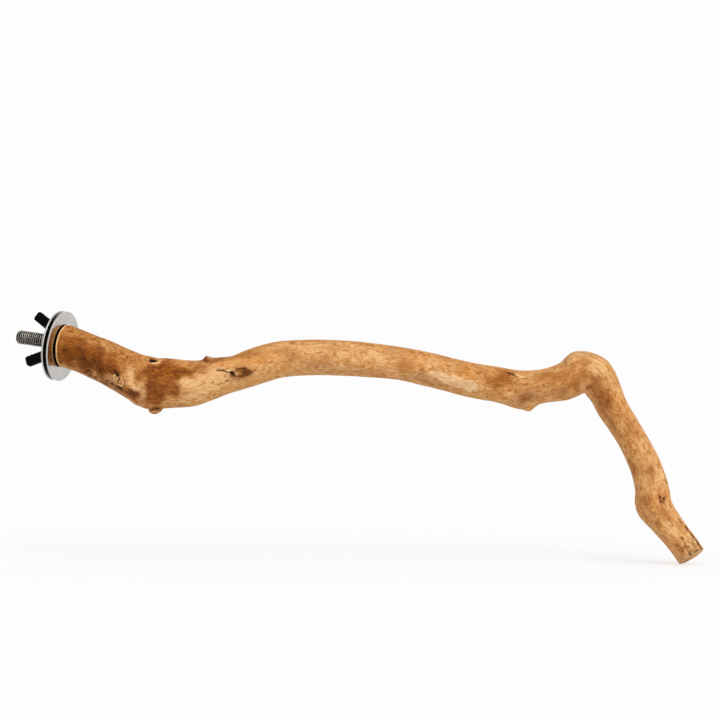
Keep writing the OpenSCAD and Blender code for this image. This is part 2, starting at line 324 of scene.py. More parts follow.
# Colour zones of the peeled wood: station, angle, half length and half width in millimetres,
# strength and, for some, the turn in degrees
ZONES = {
    "tan": [
        (-1.8, 40, 12, 16, 1), (-0.6, 40, 12, 16, 1), (0.8, 45, 14, 16, 0.95), (2, 50, 12, 14, 0.9),
        (3.3, 36, 12, 10, 0.8), (3.6, 60, 9, 10, 0.9), (5, 45, 14, 12, 0.95), (6.4, 40, 9, 8, 0.8),
        (0.5, 140, 20, 8, 0.7), (4.5, 140, 16, 7, 0.7), (9.2, 28, 12, 5, 0.55), (8.2, 22, 8, 4, 0.8),
        (12.5, 20, 40, 3, 0.55), (16.5, 30, 40, 3, 0.55), (17.9, 60, 10, 6, 0.5),
        (18.6, 62, 10, 8, 0.5), (19.6, 100, 12, 10, 0.4), (21.6, 90, 14, 10, 0.5),
        (25.6, 112, 12, 8, 0.5), (28.4, 118, 22, 6, 0.6), (29.6, 84, 22, 8, 0.35),
        (33.8, 118, 14, 6, 0.4), (3, 230, 30, 16, 0.75), (9, 270, 24, 12, 0.5), (17, 240, 26, 12, 0.5),
        (26.5, 240, 24, 12, 0.55),
    ],
    "brown": [
        (-1.6, 96, 8, 8, 0.75), (-0.6, 96, 8, 8, 0.85), (0.3, 98, 8, 8, 1, 5),
        (1.2, 94, 8, 7, 0.95, 10), (1.8, 88, 5, 6, 0.8, 15), (2.05, 98, 4, 3.6, 0.95, 30),
        (-0.4, 52, 3.2, 2.6, 0.75, 20), (0.9, 66, 8, 4, 0.55), (-1, 128, 10, 4, 0.55),
        (0.6, 122, 9, 4, 0.6), (2.62, 134, 4, 2.4, 0.55), (3.1, 128, 3.6, 3.2, 0.8, 30),
        (3.85, 66, 4.6, 8, 0.8, -50), (4.16, 92, 5.2, 9, 0.9, -10), (4.7, 78, 8, 9, 1),
        (4.4, 50, 9, 5, 0.75), (4.4, 112, 6.5, 6, 0.85), (4.78, 102, 6, 5, 0.6), (4.2, 132, 6, 5, 0.6),
        (5.6, 60, 6.5, 4.5, 0.8), (6.5, 54, 6, 3, 0.5), (5.2, 100, 4, 4, 0.15, 20),
        (6, 112, 6, 3, 0.35), (7.02, 14, 3.4, 3, 0.95), (7.7, 24, 7, 3, 0.6), (9.2, 40, 8, 2.5, 0.45),
        (10.2, 66, 6, 4, 0.25, 10), (11.3, 74, 7, 4, 0.4, 10), (11.9, 92, 6, 3, 0.35),
        (12.7, 50, 10, 3, 0.35, -5), (12.6, 98, 7, 4, 0.35, -10), (14.8, 60, 8, 3, 0.35),
        (15.2, 94, 6, 4, 0.45), (14.2, 140, 12, 3, 0.3), (17, 62, 6, 3, 0.4), (18, 92, 6, 6, 0.55),
        (18.4, 70, 6, 5, 0.6), (19.2, 122, 3.5, 4, 0.35), (19.9, 52, 8, 3, 0.4), (20.9, 66, 9, 4, 0.45),
        (21.6, 118, 9, 5, 0.45), (22.8, 110, 5, 4, 0.2), (24.6, 138, 3.5, 3, 0.5),
        (23.5, 58, 2.2, 2.6, 0.35), (23.6, 92, 3, 3, 0.12), (25, 122, 4, 5, 0.3, 30),
        (26.2, 118, 6, 5, 0.42), (27.2, 120, 6, 4, 0.55), (27.6, 96, 4, 3, 0.45),
        (28.6, 132, 9, 3, 0.45), (29.2, 78, 6, 3, 0.4), (31.5, 84, 6, 4, 0.6, 10),
        (31.2, 126, 5, 3, 0.4), (33.1, 108, 5, 4, 0.5), (34.3, 76, 5, 4, 0.55),
        (30.8, 152, 7, 2.5, 0.6), (32.3, 18, 5, 1.5, 0.6), (35.2, 62, 4, 3, 0.35),
        (36.1, 116, 5, 2.5, 0.45), (36.7, 104, 4, 4, 0.45), (2.5, 230, 20, 9, 0.7),
        (4.6, 256, 12, 8, 0.6), (8, 270, 18, 8, 0.55), (13, 240, 22, 6, 0.45), (17.5, 285, 18, 8, 0.55),
        (22, 240, 14, 9, 0.6), (28, 250, 22, 6, 0.5), (33.5, 260, 14, 6, 0.5),
    ],
    "umber": [
        (-0.6, 100, 6, 5, 0.6), (0.25, 104, 7, 5.5, 0.85, 10), (1.35, 96, 7, 5, 0.85, 20),
        (2.08, 99, 2.8, 2.6, 0.9, 35), (3.2, 125, 2.4, 2.2, 0.95, 30), (3.72, 74, 2.5, 4, 0.45, -40),
        (4.1, 98, 4, 2.5, 0.45), (3.78, 106, 3, 2.2, 0.45, 20), (4.5, 114, 3.5, 3, 0.4),
        (5.75, 60, 3, 2, 0.5), (7.05, 20, 1.4, 1.2, 0.6), (6.9, 8, 2, 2, 0.5), (9.14, 97, 3, 2.4, 1),
        (25, 124, 2.6, 2.4, 0.2, 30), (2.6, 236, 8, 4, 0.4),
    ],
    "pale": [
        (2.85, 80, 2.4, 5, 0.2, -25), (3.12, 90, 2.8, 5, 0.5, -20), (3, 104, 3, 5.5, 0.75, -12),
        (3.02, 117, 2.8, 4, 0.72), (3.67, 124, 3.2, 2.6, 0.6), (1.1, 50, 5, 3, 0.3),
        (6.2, 86, 12, 2.2, 0.8, 3), (6.3, 98, 8, 5, 0.55, 5), (6.3, 112, 9, 5, 0.5),
        (7.4, 98, 8, 6, 0.9), (8, 96, 7, 5, 0.85), (8.42, 82, 2.6, 1.2, 1, 10), (7.2, 70, 6, 4, 0.6),
        (6, 134, 10, 3, 0.4), (9.8, 104, 9, 4, 0.45), (12.2, 70, 7, 4, 0.45), (13.3, 84, 9, 6, 0.3),
        (14.3, 70, 9, 3, 0.45), (14.9, 104, 9, 4, 0.15), (13, 40, 9, 2.5, 0.4), (16, 88, 7, 5, 0.3),
        (17.9, 112, 5, 2.5, 0.45), (18.5, 112, 3, 2.5, 0.5), (22.9, 44, 5, 3.5, 0.55),
        (24.4, 62, 3.5, 4, 0.85), (24.9, 84, 3, 3, 0.45), (31.9, 60, 4, 5, 0.6), (30.3, 66, 6, 3, 0.5),
        (29, 104, 5, 3, 0.35), (35.2, 96, 7, 3, 0.65), (36.3, 66, 7, 4, 0.65), (9.5, 200, 20, 5, 0.4),
        (15.5, 260, 16, 5, 0.45), (20, 290, 12, 5, 0.4), (31, 290, 16, 4, 0.45),
    ],
    "honey": [
        (9.9, 88, 12, 9, 0.8), (8.6, 60, 10, 5, 0.7), (7.6, 60, 9, 5, 0.5), (15.4, 84, 8, 5, 0.6),
        (17.2, 74, 8, 5, 0.85), (18.2, 84, 9, 9, 0.85), (20.8, 84, 11, 9, 0.55), (22, 84, 10, 7, 0.75),
        (22.5, 98, 9, 5, 0.55), (25, 60, 7, 5, 0.35), (27.4, 80, 12, 6, 0.45), (29.4, 90, 12, 5, 0.45),
        (33.4, 84, 8, 6, 0.4), (11, 280, 20, 7, 0.5), (25.5, 280, 14, 7, 0.5),
    ],
    "grey": [
        (1.3, 140, 14, 5, 0.85, -4), (2.2, 138, 9, 5, 0.9, -4), (3.6, 130, 4, 4, 0.7),
        (7.2, 18, 9, 4, 0.85), (7.9, 22, 6, 3, 0.5), (9.2, 102, 3.5, 3, 0.7), (12.9, 128, 16, 4, 0.55),
        (16, 128, 16, 4, 0.6), (19.2, 122, 7, 7, 0.7), (20.3, 112, 8, 5, 0.45), (22.4, 30, 9, 4, 0.6),
        (27.8, 140, 14, 3, 0.5), (33.6, 132, 7, 4, 0.4), (5, 190, 18, 5, 0.4),
    ],
}

# How uneven a zone's outline is, as a share of its half width
ZONE_RAGGED = 0.22

# Pale torn or worn slivers: station, angle, half length, half width, turn, strength
SLIVERS = [
    (8.34, 79, 2.6, 0.9, 2, 1), (8.62, 98, 1, 1.6, 0, 0.45), (18.96, 49, 3, 0.9, 20, 1),
    (0.95, 128, 1.2, 0.6, 10, 0.6), (36.75, 100, 1.6, 1, 0, 0.5), (36.35, 50, 4, 0.5, 0, 0.6),
    (36.45, 73, 4, 0.5, 0, 0.6), (36.05, 61, 3.5, 0.4, 0, 0.5), (12.55, 47, 4.5, 0.8, 0, 0.6),
]

# The cream patch with its sharp edge: station, angle, half length, half width, turn
CREAM_PATCHES = [(16.85, 108, 9.5, 3.6, 4), (17.35, 112, 5, 3.4, 20), (16.3, 102, 5, 2.4, 0)]

# Cracks and dark lines: half width and depth in millimetres, darkness, then the places along each
CRACKS = [
    (0.55, 0.7, 1, (2.1, 98), (2.2, 101), (2.34, 103)),
    (0.44, 0.3, 0.8, (0.28, 145), (0.42, 134), (0.6, 129), (0.88, 128)),
    (0.46, 0.35, 0.8, (1.17, 132), (1.82, 134), (2.22, 135), (2.64, 133)),
    (0.42, 0.35, 0.6, (2.4, 128), (2.75, 131), (3.02, 131)),
    (0.42, 0.3, 0.7, (1.37, 145), (2.05, 147), (2.44, 141)), (0.4, 0.4, 0.6, (2.84, 134), (2.99, 140)),
    (0.4, 0.4, 0.6, (3.19, 142), (3.42, 151)),
    (0.48, 0.4, 0.65, (7.68, 68), (7.9, 72), (8.05, 77), (8.2, 82), (8.38, 86)),
    (0.4, 0.2, 0.3, (8.02, 72), (8.3, 73), (8.66, 80)),
    (0.55, 0.6, 0.85, (8.38, 86), (8.46, 94), (8.52, 102)),
    (0.42, 0.3, 0.55, (8.42, 89), (8.56, 88), (8.72, 86), (8.84, 84), (8.97, 85), (9.12, 89)),
    (0.7, 0.4, 0.5, (8.99, 90), (8.97, 100)),
    (0.38, 0.3, 0.55, (8.52, 101), (8.64, 106), (8.84, 109), (9.05, 110), (9.22, 108)),
    (0.42, 0.3, 0.6, (7.27, 101), (7.36, 102)),
    (0.34, 0.3, 0.5, (7.5, 111), (7.62, 113), (7.78, 112), (7.95, 112)),
    (0.42, 0.3, 0.65, (8.08, 110), (8.14, 110)), (0.5, 0.6, 0.95, (18.48, 39), (18.72, 44)),
    (0.36, 0.4, 0.45, (18.72, 46), (18.92, 53), (19.14, 58)), (0.3, 0.2, 0.35, (14.5, 81), (14.7, 79)),
    (0.34, 0.4, 0.5, (32.3, 33), (32.6, 25)), (0.32, 0.4, 0.45, (33.7, 60), (33.85, 57), (34.05, 56)),
    (0.36, 0.5, 0.7, (34.85, 38), (35.1, 37)),
    (0.85, 0.6, 0.85, (35.3, 31), (35.8, 31), (36.3, 31), (37, 32)),
    (0.3, 0.6, 0.5, (35.75, 84), (36, 86), (36.2, 91), (36.5, 94), (37, 96)),
    (0.4, 0.3, 0.45, (35.8, 60), (36.4, 62), (37, 64)), (0.4, 0.3, 0.45, (36, 72), (37, 76)),
    (0.4, 0.3, 0.45, (36, 50), (37, 53)), (0.4, 0.3, 0.35, (36.3, 84), (37, 87)),
    (0.3, 0.3, 0.36, (36.3, 124), (36.9, 128)), (0.4, 0.9, 0.8, (36.1, 222), (36.6, 226), (37, 224)),
    (0.34, 0.7, 0.7, (35.9, 300), (37, 306)), (0.36, 0.6, 0.7, (1, 240), (1.6, 244), (2.3, 241)),
    (0.34, 0.5, 0.6, (11.5, 262), (12.4, 266), (13.2, 264)), (0.34, 0.5, 0.6, (23.2, 215), (24, 220)),
]

# Small dark pits: station, angle, half length, half width, depth, darkness
PITS = [
    (33.3, 67, 0.8, 0.7, 0.9, 1), (33.5, 51, 0.9, 0.8, 1, 1), (33.62, 66, 0.8, 0.7, 0.8, 0.9),
    (33.1, 72, 0.5, 0.5, 0.3, 0.5), (11.44, 97, 0.5, 0.5, 0.2, 0.5), (16.53, 62, 0.8, 0.5, 0.2, 0.4),
    (16.6, 80, 0.7, 0.5, 0.2, 0.4), (26.76, 84, 0.6, 0.5, 0.2, 0.6), (27.46, 103, 0.6, 0.5, 0.2, 0.6),
    (36.05, 117, 0.6, 0.5, 0.3, 0.6), (36.56, 112, 0.5, 0.5, 0.3, 0.5), (35.75, 86, 0.7, 0.5, 0.3, 0.6),
    (29.9, 52, 0.5, 0.5, 0.2, 0.5), (28.5, 76, 0.5, 0.5, 0.2, 0.4), (19.7, 128, 0.7, 0.6, 0.2, 0.5),
    (10.2, 250, 0.8, 0.7, 0.6, 0.9), (14.8, 300, 0.6, 0.5, 0.5, 0.8), (30.5, 230, 0.8, 0.6, 0.6, 0.9),
]

# Knots: station, angle, half length, half width, turn, rim height, hollow depth, core's darkness
KNOTS = [
    (0.62, 139, 2.6, 1.7, 10, 0.35, 0.25, 0.65), (1.1, 142, 1.8, 1.1, 12, 0.25, 0.2, 0.6),
    (8.8, 98, 6.1, 3, 6, 0.25, 0.45, 0.56), (5.4, 250, 4, 3.2, 0, 0.6, 0.5, 0.6),
    (10.4, 236, 3.2, 2.6, 10, 0.5, 0.4, 0.6), (21, 255, 3.6, 2.8, 0, 0.5, 0.5, 0.6),
    (27.6, 296, 2.6, 2.2, 0, 0.5, 0.4, 0.6),
]

# Two bumps and the dip between them on the lower edge, before the twig: station, angle, half
# length, half width and height in millimetres
LUMPS = [(3.2, 172, 2, 5, 0.6), (3.6, 174, 1.8, 5, -0.35), (3.95, 170, 1.6, 4.5, 0.25)]

# A whorl, where the fibres run together: station, angle, radius in millimetres
WHORL = (19.18, 122, 5.5)

# The eye, a knot with a pale rim and a dark cleft: station, angle, half length, half width, turn
EYE = (2.42, 112, 3.1, 1.95, 20)

# The arcs round the eye's far side, in millimetres
ARC_GAP = 1.3
ARC_REACH = 10.0

# The nick on the top edge: station, angle, half length, half width, turn
NICK = (3.78, 29, 3.5, 2.7, 8)

# The sawn-off twig's place, and its radius and height in millimetres
TWIG_STUB = (4.22, 172)
TWIG_R = 3.0
TWIG_H = 3.3


# Waves of random phase over the whole skin: seed, how many, fewest and most round the ring,
# shortest and longest along it and their height, both in millimetres
ROLLS = [
    (3, 14, (1, 4), (26, 80), 0.16),
    (5, 20, (4, 9), (14, 50), 0.07),
    (8, 30, (16, 44), (60, 260), 0.035),
]

# How far from each end of the branch the waves fade, in millimetres
ROLL_FADE = 6


def rolling(bark, seed, count, waves, wavelength, height):
    """Adds waves to the skin's height."""
    random = np.random.default_rng(seed)
    around = np.radians(bark.angles)[None]
    along = bark.along[:, None]
    total = np.zeros(bark.height.shape)
    for _ in range(count):
        turns = random.integers(waves[0], waves[1] + 1)
        length = random.uniform(*wavelength)
        lean = random.choice([-1, 1])
        phase = random.uniform(0, 2 * math.pi)
        total += np.sin(turns * around + lean * 2 * math.pi * along / length + phase)
    end = along.max() / 2
    fade = soft(np.abs(along - along.mean()), end - ROLL_FADE, end)
    bark.height += total * height / math.sqrt(count) * fade


def draw_zones(bark):
    """The colour zones and the cream patch."""
    for name, zones in ZONES.items():
        for station, angle, length, width, strength, *turn in zones:
            spot = bark.oval(station, angle, length, width, *turn, ragged=ZONE_RAGGED * width)
            bark.paint(name, strength * soft(spot, 0.3, 1.5))
    for patch in CREAM_PATCHES:
        bark.paint("cream", bell(bark.oval(*patch) ** 2))


# In what follows d is the distance from a mark's middle, which is 1 on its outline


def draw_knot(bark, station, angle, length, width, turn, rim, hollow, core):
    """A healed knot: a raised rim round a brown core, with rings in both."""
    d = bark.oval(station, angle, length, width, turn)
    bark.height += rim * band(d, 1.05, 0.25) - hollow * soft(d, 0.35, 0.95)
    bark.height += 0.08 * np.cos(d * 14) * soft(d, 1.0, 1.6)
    bark.paint("brown", core * soft(d, 0.80, 1.05))
    bark.paint("dark_marks_and_shade", 0.30 * band(d, 0.98, 0.09))
    bark.paint("pale", 0.35 * band(d, 1.22, 0.12))
    bark.paint("knot", 0.8 * wave(d * 15) * soft(d, 1.0, 1.8))


def draw_whorl(bark):
    """Fine rings round a brown middle, on a faint swelling."""
    station, angle, radius = WHORL
    x, y = bark.local(station, angle, ragged=0.25)
    d = np.hypot(x, y) / radius
    lines = wave(22 * d + np.arctan2(y, x))
    there = soft(d, 0.5, 1.3)
    bark.height += 0.25 * bell(d * 1.5) - 0.25 * bell(d * 5) + 0.06 * there * lines
    bark.paint("brown", 0.40 * lines * there + 0.35 * bell(d * 2.5))
    bark.paint("dark_marks_and_shade", 0.25 * bell(d * 6))


def draw_eye(bark):
    """The rimmed knot: a raised pale rim round a hollow with a dark cleft, and arcs beside it."""
    station, angle, length, width, turn = EYE
    d = bark.oval(*EYE)
    x, y = bark.local(station, angle, turn)
    away = np.hypot(x, y)
    upper_right = soft(np.abs(np.arctan2(y, x) + 0.5), 0.5, 1.7)
    there = upper_right * soft(away, 3.5, ARC_REACH) * (1 - soft(away, 2.0, 3.6))
    arcs = wave(2 * math.pi * away / ARC_GAP)
    bark.height += 0.10 * there * arcs
    bark.paint("brown", 0.35 * there * arcs)
    bark.paint("dark_marks_and_shade", 0.15 * there * arcs)
    bark.clear(soft(d, 0.9, 1.3))
    bark.height += 0.45 * band(d, 1.0, 0.22) - 0.40 * soft(d, 0.35, 0.85)
    bark.paint("dark_marks_and_shade", 0.45 * band(d, 1.32, 0.14) * (x > -length / 2))
    bark.paint("wear_and_highlight", 0.85 * band(d, 1.0, 0.13) + 0.35 * soft(d, 0.25, 0.50))
    bark.paint("brown", 0.45 * band(d, 0.70, 0.16))
    bark.paint("dark_marks_and_shade", 0.55 * band(d, 0.74, 0.10))
    cleft = bell(np.hypot(x - 0.3 * y, 0.35 * y) / 0.50)
    bark.paint("dark_marks_and_shade", 0.90 * cleft)
    bark.height -= 0.5 * cleft


def draw_lines(bark):
    """Cracks with slightly raised edges, small pits and pale slivers."""
    for half_width, depth, darkness, *places in CRACKS:
        uneven = np.maximum(0.45, 1 + 0.40 * bark.ripple[1])
        d = bark.crack(places) / (half_width * uneven)
        bark.height -= depth * bell(d)
        bark.height += 0.15 * depth * band(d, 2.2, 0.8)
        bark.paint("dark_marks_and_shade", darkness * bell(d))
        bark.paint("brown", 0.5 * darkness * bell(d * 0.4))
    for *place, depth, darkness in PITS:
        d = bark.oval(*place)
        bark.height -= depth * bell(d)
        bark.paint("dark_marks_and_shade", darkness * bell(d))
        bark.paint("brown", 0.7 * darkness * bell(d * 0.45))
    for *place, strength in SLIVERS:
        sliver = strength * bell(bark.oval(*place))
        bark.clear(sliver)
        bark.paint("wear_and_highlight", sliver)


def draw_nick(bark):
    """A torn-out twig: a deep dark hollow with a pale torn lip below it on the right."""
    station, angle, _, _, turn = NICK
    d = bark.oval(*NICK)
    x, y = bark.local(station, angle, turn)
    bark.height -= 1.2 * soft(d, 0.2, 1.1)
    bark.paint("dark_marks_and_shade", 1.1 * soft(d, 0.40, 1.05))
    right = soft(np.abs(np.arctan2(y, x) - 0.6), 0.6, 1.5)
    torn = band(d, 1.28, 0.18) * right
    bark.clear(1.2 * torn)
    bark.height += 0.35 * torn
    bark.paint("wear_and_highlight", 0.7 * torn)
    bark.paint("dark_marks_and_shade", 0.35 * band(d, 1.45, 0.12) * (1 - right))


def draw_twig(bark):
    """The stub: a rounded dome, a pale ring on it, a dark middle, and painted shade at its foot on one
    side.
    """
    d = bark.oval(*TWIG_STUB, TWIG_R, TWIG_R)
    x, y = bark.local(*TWIG_STUB)
    near_side = soft(np.abs(np.arctan2(x, -y)), 0.5, 1.3)
    bark.height += TWIG_H * np.clip(1 - (d / 1.18) ** 2, 0, 1) ** 0.8
    bark.height -= 0.2 * soft(d, 0.05, 0.35)
    bark.paint("brown", 0.40 * soft(d, 1.0, 1.7))
    bark.paint("honey", 0.8 * soft(d, 1.0, 1.5))
    # Painted shade: the shadowed crack between the bark and the stub, on its near side.
    bark.paint("dark_marks_and_shade", 0.78 * near_side * band(d, 1.02, 0.12))
    bark.paint("dark_marks_and_shade", 0.45 * band(d, 0.30, 0.12))
    bark.paint("wear_and_highlight", 0.40 * band(d, 0.62, 0.16))


# The squared end, in millimetres: how far its full radius stands off the washer, the radius that
# touches the washer, and the place, half width and height of the bead along the lip
LIP_GAP = 0.75
TOUCH_R = 9.0
LIP_CREST = 1.10
LIP_BEAD = 0.45
LIP_RISE = 0.25


def draw_seat_edge(bark):
    """The squared end's lip: a bead, with wear and a painted highlight on its open side and painted
    shade towards the washer.
    """
    along = bark.along[:, None]
    slant = TOUCH_R + (SEAT_R - TOUCH_R) * along / LIP_GAP
    wanted = np.minimum(slant, SEAT_R)
    bark.height += (wanted - bark.radius[:, None]) * (along < SEAT_EDGE)
    bark.height += LIP_RISE * soft(np.abs(along - LIP_CREST), 0.0, LIP_BEAD)
    # The pale rim is wear together with a painted highlight on the lit edge of the lip.
    rim = soft(along, LIP_CREST + 0.3, LIP_CREST + 0.8)
    bark.clear(rim)
    bark.paint("wear_and_highlight", rim)
    # Painted shade: a dark band where the lip turns in to meet the washer.
    bark.paint("dark_marks_and_shade", soft(along, LIP_CREST - 0.25, LIP_CREST + 0.05) * (1.2 - 0.5 * along / LIP_CREST))


def draw_bark(bark):
    """All the relief and the colour masks of the skin. What comes later lies on top."""
    for roll in ROLLS:
        rolling(bark, *roll)
    draw_zones(bark)
    for knot in KNOTS:
        draw_knot(bark, *knot)
    draw_whorl(bark)
    for *place, height in LUMPS:
        bark.height += height * bell(bark.oval(*place))
    draw_eye(bark)
    draw_lines(bark)
    draw_nick(bark)
    draw_twig(bark)
    draw_seat_edge(bark)


# Mesh helpers


def mesh_object(name, vertices, faces, material):
    """A smooth mesh object from points in millimetres."""
    mesh = bpy.data.meshes.new(name)
    mesh.from_pydata((np.asarray(vertices) * MM).tolist(), [], faces)
    mesh.materials.append(material)
    mesh.polygons.foreach_set("use_smooth", [True] * len(mesh.polygons))
    mesh.validate()
    mesh.update()
    piece = bpy.data.objects.new(name, mesh)
    bpy.context.scene.collection.objects.link(piece)
    return piece


def add_attribute(mesh, name, values):
    """Numbers or triples for every vertex, given as an array of rings by sides."""
    kind, field = ("FLOAT_VECTOR", "vector") if values.ndim == 3 else ("FLOAT", "value")
    attribute = mesh.attributes.new(name, kind, "POINT")
    attribute.data.foreach_set(field, values.astype(np.float32).ravel())


def tube_faces(ring_total, sides, closed=False):
    """Quads from ring to ring of a grid, looking outwards, and back to the first if closed."""
    i, j = np.meshgrid(np.arange(ring_total - 1 + closed), np.arange(sides), indexing="ij")
    here = i * sides
    ahead = (i + 1) % ring_total * sides
    k = (j + 1) % sides
    return np.stack([here + j, ahead + j, ahead + k, here + k], axis=-1).reshape(-1, 4).tolist()


def capped_faces(ring_total, sides):
    """The faces of a tube that is shut at both ends."""
    ring = list(range(sides))
    last = (ring_total - 1) * sides
    return tube_faces(ring_total, sides) + [ring[::-1], [last + n for n in ring]]


# Shader helpers


class Nodes:
    """A node tree, with short ways to add nodes."""

    def __init__(self, owner):
        owner.use_nodes = True
        self.tree = owner.node_tree

    def add(self, kind, settings=None, **inputs):
        """A node with settings and inputs. An input is a value or another node's output."""
        node = self.tree.nodes.new(kind)
        for key, value in (settings or {}).items():
            setattr(node, key, value)
        for key, value in inputs.items():
            self.put(node, key.replace("_", " "), value)
        return node

    def put(self, node, key, value):
        """Sets or links an input, named as on the node or by its place, such as i0."""
        by_place = key[0] == "i" and key[1:].isdigit()
        socket = node.inputs[int(key[1:]) if by_place else key]
        if isinstance(value, bpy.types.NodeSocket):
            self.tree.links.new(value, socket)
        else:
            socket.default_value = value

    def math(self, operation, a, b=0.0, clamp=False):
        node = self.add("ShaderNodeMath", {"operation": operation, "use_clamp": clamp}, i0=a, i1=b)
        return node.outputs[0]

    def mix_shader(self, share, a, b):
        return self.add("ShaderNodeMixShader", i0=share, i1=a, i2=b).outputs[0]


class Shader(Nodes):
    """A material's node tree, with short ways to make textures and colours."""

    def __init__(self, name):
        self.material = bpy.data.materials.new(name)
        super().__init__(self.material)

    def surface(self, **inputs):
        """The material, with these inputs of its surface set or linked."""
        for key, value in inputs.items():
            self.put(self.tree.nodes["Principled BSDF"], key.replace("_", " "), value)
        return self.material

    def attribute(self, name):
        return self.add("ShaderNodeAttribute", {"attribute_name": name})

    def object_place(self):
        return self.add("ShaderNodeTexCoord").outputs["Object"]

    def axis_distance(self, place, height=0.0):
        """Distance of a place from a line along X at some height, in metres."""
        flat = self.scaled(place, (0, 1, 1), (0, 0, -height))
        return self.add("ShaderNodeVectorMath", {"operation": "LENGTH"}, i0=flat).outputs["Value"]

    def sum(self, *parts):
        """The sum of some outputs, each times its share."""
        total, *others = [self.math("MULTIPLY", part, share) for part, share in parts]
        for other in others:
            total = self.math("ADD", total, other)
        return total

    def mix(self, factor, a, b):
        return self.add("ShaderNodeMix", {"data_type": "RGBA"}, i0=factor, i6=a, i7=b).outputs[2]

    def scaled(self, vector, scale, shift=(0, 0, 0)):
        return self.add("ShaderNodeMapping", Vector=vector, Scale=scale, Location=shift).outputs[0]

    def noise(self, vector, scale, detail, roughness, distortion=0.0):
        """Noise with a scale in cells per unit of the vector."""
        return self.add(
            "ShaderNodeTexNoise",
            Vector=vector,
            Scale=scale,
            Detail=detail,
            Roughness=roughness,
            Distortion=distortion,
        ).outputs[0]

    def ramp(self, factor, *stops):
        """Colours at places from 0 to 1. A stop is a place, red, green and blue."""
        node = self.add("ShaderNodeValToRGB", i0=factor)
        points = node.color_ramp.elements
        while len(points) < len(stops):
            points.new(0.5)
        for point, (place, *colour) in zip(points, stops):
            point.position = place
            point.color = linear(*colour)
        return node.outputs[0]

    def range(self, value, low, high, to_low=0.0, to_high=1.0):
        node = self.add("ShaderNodeMapRange", i0=value, i1=low, i2=high, i3=to_low, i4=to_high)
        return node.outputs[0]

    def bump(self, height, strength, distance):
        return self.add("ShaderNodeBump", Height=height, Strength=strength, Distance=distance).outputs[0]


def wood():
    """Peeled hardwood: fibres, flecks, mottling, colour zones, rings round knots, dark cracks, and a
    little painted shade and highlight.
    """
    s = Shader("peeled_wood")
    grain = s.attribute("grain").outputs["Vector"]
    masks = {name: s.attribute(name).outputs["Fac"] for name in MASKS}

    def texture(along, across, detail, roughness, distortion=0.0):
        """Noise on the straightened branch, in cells per millimetre along and across it."""
        return s.noise(s.scaled(grain, (along, across, across)), 1.0, detail, roughness, distortion)

    fibre = texture(0.20, 1.15, 5, 0.62, 0.6)
    fleck = texture(0.50, 1.30, 4, 0.65, 0.5)
    mottle = texture(0.36, 0.48, 5, 0.66, 0.5)
    cloud = texture(0.05, 0.09, 3, 0.5)
    speck = texture(0.8, 1.1, 2, 0.5)
    tone = s.sum((fibre, 0.24), (fleck, 0.24), (mottle, 0.52))
    stain_tone = s.sum((fibre, 0.42), (mottle, 0.58))
    broken = s.range(s.math("ADD", mottle, fleck), 0.80, 1.20, -0.34, 0.34)
    patchy = s.range(cloud, 0.35, 0.65, 0.75, 1.15)

    def over(below, mask, strength, above):
        """Lays a colour over what lies below it, as far as a mask goes."""
        return s.mix(s.math("MULTIPLY", mask, strength), below, above)

    def tint(below, name, strength, *stops):
        """Lays a soft, patchy tint over what lies below it."""
        mask = s.math("MULTIPLY", masks[name], patchy, clamp=True)
        return over(below, mask, strength, s.ramp(tone, *stops))

    def blotch(below, name, low, high, strength, above):
        """Lays blotches over what lies below them: the fuller the mask, the more they cover."""
        amount = s.range(s.math("ADD", masks[name], broken), low, high, 0.0, strength)
        return s.mix(amount, below, above)

    colour = s.ramp(
        tone,
        (0.37, 158, 94, 40),
        (0.45, 200, 138, 78),
        (0.53, 224, 168, 106),
        (0.62, 242, 196, 142),
    )
    colour = tint(colour, "honey", 0.70, (0.40, 186, 108, 36), (0.60, 238, 170, 90))
    colour = tint(colour, "tan", 0.92, (0.42, 130, 68, 16), (0.58, 212, 142, 68))
    colour = tint(colour, "grey", 0.65, (0.40, 128, 86, 56), (0.60, 192, 142, 102))
    bare = s.ramp(tone, (0.40, 218, 158, 94), (0.60, 248, 208, 152))
    colour = blotch(colour, "pale", 0.12, 0.90, 0.80, bare)
    stain = s.ramp(stain_tone, (0.40, 86, 33, 0), (0.60, 168, 90, 8))
    colour = blotch(colour, "brown", 0.20, 0.84, 0.90, stain)
    deep_stain = s.ramp(tone, (0.42, 38, 14, 0), (0.58, 120, 58, 8))
    colour = blotch(colour, "umber", 0.20, 0.84, 0.85, deep_stain)
    ragged = s.math("ADD", masks["cream"], s.range(mottle, 0.3, 0.7, -0.25, 0.25))
    cream = s.ramp(tone, (0.40, 216, 168, 116), (0.60, 246, 210, 162))
    colour = over(colour, s.range(ragged, 0.44, 0.54), 0.85, cream)
    colour = over(colour, masks["knot"], 0.5, linear(118, 64, 24))
    # Pale wear, and the painted highlight on the seat's lip.
    wear_and_highlight = s.ramp(tone, (0.40, 226, 170, 108), (0.60, 254, 216, 158))
    colour = over(colour, masks["wear_and_highlight"], 0.95, wear_and_highlight)
    specks = s.range(speck, 0.66, 0.80, 0.0, 0.35)
    colour = s.mix(specks, colour, linear(124, 68, 26))
    dark_streaks = s.range(fibre, 0.28, 0.42, 0.08, 0.0)
    colour = s.mix(dark_streaks, colour, linear(118, 64, 24))
    # Dark lines, cracks and hollows, and the painted shade at the seat's lip and the twig's foot.
    dark_marks_and_shade = s.ramp(masks["dark_marks_and_shade"], (0.10, 124, 68, 26), (0.50, 82, 42, 16), (0.95, 22, 9, 5))
    colour = s.mix(s.range(masks["dark_marks_and_shade"], 0.04, 0.70), colour, dark_marks_and_shade)
    relief = s.sum((fibre, 0.5), (fleck, 0.5), (specks, -0.5))
    return s.surface(
        Base_Color=colour,
        Roughness=s.range(fleck, 0.35, 0.65, 0.58, 0.78),
        Specular_IOR_Level=0.14,
        Normal=s.bump(relief, 0.7, 0.0006),
    )


